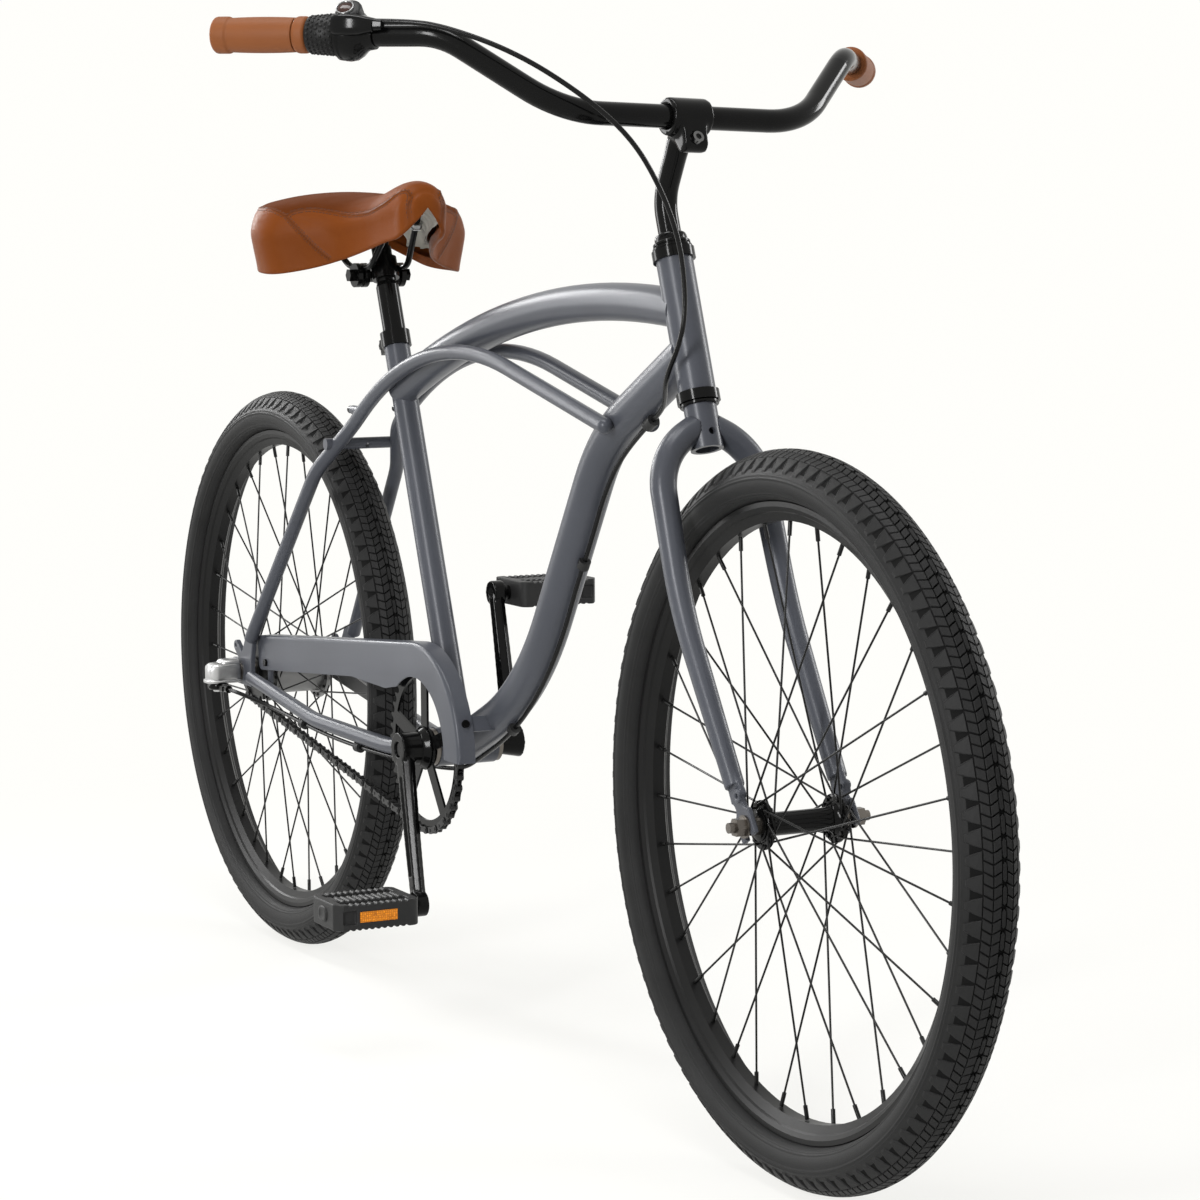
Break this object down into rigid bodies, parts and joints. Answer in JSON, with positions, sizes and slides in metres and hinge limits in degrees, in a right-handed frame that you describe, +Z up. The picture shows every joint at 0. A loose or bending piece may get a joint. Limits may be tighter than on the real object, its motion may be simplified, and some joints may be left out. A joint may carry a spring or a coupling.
{
  "type": "bicycle",
  "caption": "Cruiser bicycle with a curved cantilever frame, swept bar, wide padded saddle, balloon tyres, chain guard, twist shifter and hub gear.",
  "frame": {"origin": "on the ground, midway between the two axles, in the frame's middle plane", "axes": "+X forward, +Y to the rider's left, +Z up"},
  "size_m": [1.8888, 0.7567, 1.0657],
  "materials": {
    "frame_paint": "satin metallic slate grey paint",
    "black_gloss": "gloss black paint",
    "black_alloy": "semi-gloss black anodised or painted alloy",
    "steel": "zinc plated steel",
    "spoke_steel": "black steel",
    "polished_cover": "polished silver",
    "black_plastic": "moulded black plastic",
    "soft_black": "soft bumped rubber",
    "cable_skin": "black cable housing",
    "tyre_rubber": "black tyre rubber",
    "tan_rubber": "smooth tan rubber",
    "saddle_skin": "brown stitched leatherette",
    "saddle_shell": "pale moulded plastic",
    "amber_lens": "amber reflector lens"
  },
  "bodies": {
    "frame": {"head_tube": "frame_paint", "top_tube": "frame_paint", "down_tube": "frame_paint", "seat_tube": "frame_paint", "bottom_bracket_shell": "frame_paint", "right_stay": "frame_paint", "left_stay": "frame_paint", "right_chainstay": "frame_paint", "left_chainstay": "frame_paint", "rear_dropouts": "frame_paint", "frame_braze_ons": "frame_paint", "headset_cups": "black_gloss", "seat_clamp": "black_gloss", "bottom_bracket_cups": "steel", "chain_guard": "frame_paint", "frame_bolts": "steel", "rear_axle": "steel", "brake_arm": "steel", "shift_unit": "polished_cover", "steering_cable": "cable_skin", "frame_cable": "cable_skin", "cable_clips": "black_plastic", "chain": "spoke_steel"},
    "bell_crank": {"bell_crank": "black_plastic"},
    "steering": {"fork_crown": "frame_paint", "right_fork_blade": "frame_paint", "left_fork_blade": "frame_paint", "headset_top": "black_gloss", "stem": "black_gloss", "stem_bolt": "steel", "handlebar": "black_gloss", "right_grip": "tan_rubber", "left_grip": "tan_rubber", "shifter_housing": "black_plastic", "front_axle": "steel"},
    "shifter_sleeve": {"shifter_sleeve": "soft_black"},
    "front_wheel": {"front_tyre": "tyre_rubber", "front_rim": "black_alloy", "front_hub": "black_alloy", "front_spokes": "spoke_steel"},
    "rear_wheel": {"rear_tyre": "tyre_rubber", "rear_rim": "black_alloy", "rear_hub": "black_alloy", "rear_spokes": "spoke_steel"},
    "driver": {"rear_sprocket": "steel"},
    "crank": {"crank_spindle": "steel", "right_crank": "black_alloy", "left_crank": "black_alloy", "chainring": "black_alloy", "pedal_spindles": "steel"},
    "right_pedal": {"right_pedal": "black_plastic", "right_pedal_reflectors": "amber_lens"},
    "left_pedal": {"left_pedal": "black_plastic", "left_pedal_reflectors": "amber_lens"},
    "seatpost": {"seatpost": "black_gloss", "saddle_clamp": "black_alloy"},
    "saddle": {"saddle_frame": "black_alloy", "saddle_base": "saddle_shell", "saddle_cover": "saddle_skin"}
  },
  "joints": [
    {"name": "steering", "type": "hinge", "parent": "frame", "child": "steering", "pos_m": [0.56574, 0, 0.31694], "axis": [-0.3437, 0, 0.9391], "range_deg": [-70, 70], "deforming": ["steering_cable"]},
    {"name": "front_wheel", "type": "hinge", "parent": "steering", "child": "front_wheel", "pos_m": [0.611, 0, 0.3335], "axis": [0, 1, 0], "continuous": true},
    {"name": "rear_wheel", "type": "hinge", "parent": "frame", "child": "rear_wheel", "pos_m": [-0.611, 0, 0.3335], "axis": [0, 1, 0], "continuous": true},
    {"name": "crank", "type": "hinge", "parent": "frame", "child": "crank", "pos_m": [-0.11286, 0, 0.3065], "axis": [0, 1, 0], "continuous": true, "deforming": ["chain"]},
    {"name": "driver", "type": "hinge", "parent": "frame", "child": "driver", "pos_m": [-0.611, 0, 0.3335], "axis": [0, 1, 0], "continuous": true, "deforming": ["chain"]},
    {"name": "right_pedal", "type": "hinge", "parent": "crank", "child": "right_pedal", "pos_m": [-0.04102, 0, 0.15243], "axis": [0, 1, 0], "continuous": true},
    {"name": "left_pedal", "type": "hinge", "parent": "crank", "child": "left_pedal", "pos_m": [-0.18471, 0, 0.46057], "axis": [0, 1, 0], "continuous": true},
    {"name": "twist_shifter", "type": "hinge", "parent": "steering", "child": "shifter_sleeve", "pos_m": [0.18408, -0.3744, 1.04206], "axis": [-0.7208, -0.6929, 0.019], "range_deg": [-40, 40], "deforming": ["frame_cable"]},
    {"name": "bell_crank", "type": "hinge", "parent": "frame", "child": "bell_crank", "pos_m": [-0.611, -0.094, 0.321], "axis": [0, 0, 1], "range_deg": [-13, 13], "deforming": ["frame_cable"]},
    {"name": "seatpost", "type": "slide", "parent": "frame", "child": "seatpost", "axis": [-0.3551, 0, 0.9348], "range_m": [-0.045, 0.1]},
    {"name": "saddle_tilt", "type": "hinge", "parent": "seatpost", "child": "saddle", "pos_m": [-0.32951, 0, 0.80886], "axis": [0, 1, 0], "range_deg": [-12, 12]}
  ],
  "couplings": [
    {"joint": "driver", "follows": "crank", "ratio": 2.4444},
    {"joint": "bell_crank", "follows": "twist_shifter", "ratio": 0.3}
  ]
}
